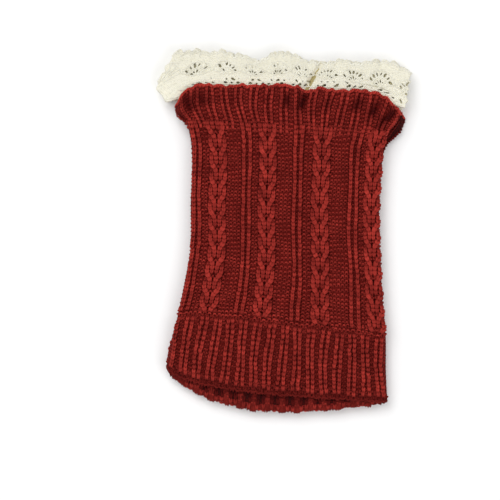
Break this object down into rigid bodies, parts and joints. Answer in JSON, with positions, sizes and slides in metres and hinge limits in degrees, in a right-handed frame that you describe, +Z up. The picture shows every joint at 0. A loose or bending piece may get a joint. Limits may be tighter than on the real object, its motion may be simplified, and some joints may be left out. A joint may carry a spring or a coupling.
{
  "type": "pair of leg warmers",
  "caption": "Pair of short dark red cable-knit leg warmers with a cream crochet lace band at the top, lying flat one on the other.",
  "frame": {"origin": "under the middle of the pair, on the surface that it lies on", "axes": "+X across the legs, +Y along them from the ribbed hem to the lace, +Z up from the surface"},
  "size_m": [0.1714, 0.2426, 0.017],
  "materials": {
    "knit": "matte",
    "lace": "matte"
  },
  "bodies": {
    "root": {"upper_knit_tube": "knit", "upper_lace_band": "lace", "lower_knit_tube": "knit", "lower_lace_band": "lace"}
  },
  "joints": []
}
